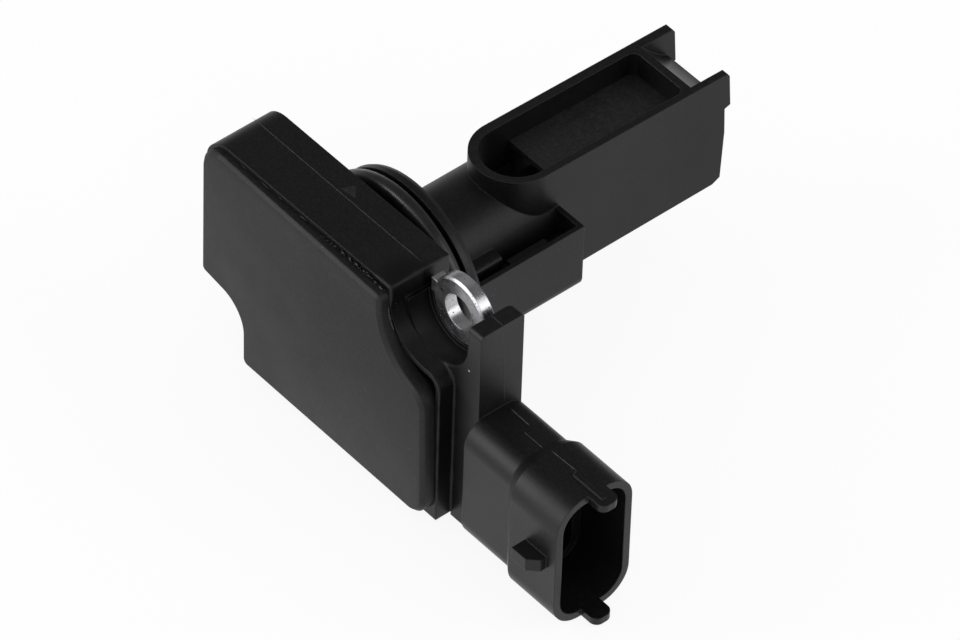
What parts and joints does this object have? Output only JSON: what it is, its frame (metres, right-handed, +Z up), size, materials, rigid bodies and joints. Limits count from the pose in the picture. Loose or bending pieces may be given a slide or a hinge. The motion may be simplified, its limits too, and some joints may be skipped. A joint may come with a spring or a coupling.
{
  "type": "mass airflow sensor",
  "caption": "Plug-in mass airflow sensor: boxed electronics with a glued lid, sealed round spigot, hollow air-sampling probe, keyed plug socket and bushed bolt ears.",
  "frame": {"origin": "on the spigot's axis, in the flange's back plane that meets the duct", "axes": "+Y along the probe into the duct, +X toward the connector's mouth, +Z up the box toward the upper bolt"},
  "size_m": [0.0775, 0.07, 0.038],
  "materials": {
    "housing_plastic": "black glass-filled moulding, satin",
    "lid_plastic": "black moulding, fine matt grain",
    "sealant": "cured black adhesive, glossy",
    "bush_metal": "bright plated, turned",
    "seal_rubber": "smooth black rubber",
    "plate_plastic": "black moulding, matt",
    "bead_glass": "glassy coated bead",
    "bare_wire": "tinned, drawn",
    "heat_plate": "rolled sheet",
    "ceramic": "fired white ceramic",
    "chip_plastic": "moulded chip package",
    "capacitor": "tan ceramic",
    "resistor": "printed dark film",
    "carrier_plastic": "moulded carrier, matt",
    "sensor_die": "polished silicon with thin film",
    "blade_tin": "tin plated blade",
    "gel": "clear soft gel"
  },
  "bodies": {
    "root": {"housing": "housing_plastic", "cover_lid": "lid_plastic", "lid_sealant": "sealant", "bush_upper": "bush_metal", "bush_lower": "bush_metal", "o_ring": "seal_rubber", "bypass_cover": "plate_plastic", "bypass_adhesive": "sealant", "thermistor_bead": "bead_glass", "thermistor_leads": "bare_wire", "heat_plate": "heat_plate", "circuit_substrate": "ceramic", "signal_chip": "chip_plastic", "driver_chip": "chip_plastic", "capacitor_input": "capacitor", "capacitor_output": "capacitor", "capacitor_filter": "capacitor", "trim_resistor": "resistor", "sensor_carrier": "carrier_plastic", "sensor_chip": "sensor_die", "carrier_seal": "sealant", "carrier_ribbons": "bare_wire", "terminal_1": "blade_tin", "terminal_2": "blade_tin", "terminal_3": "blade_tin", "terminal_4": "blade_tin", "terminal_5": "blade_tin", "terminal_ribbons": "bare_wire", "potting_gel": "gel"}
  },
  "joints": []
}
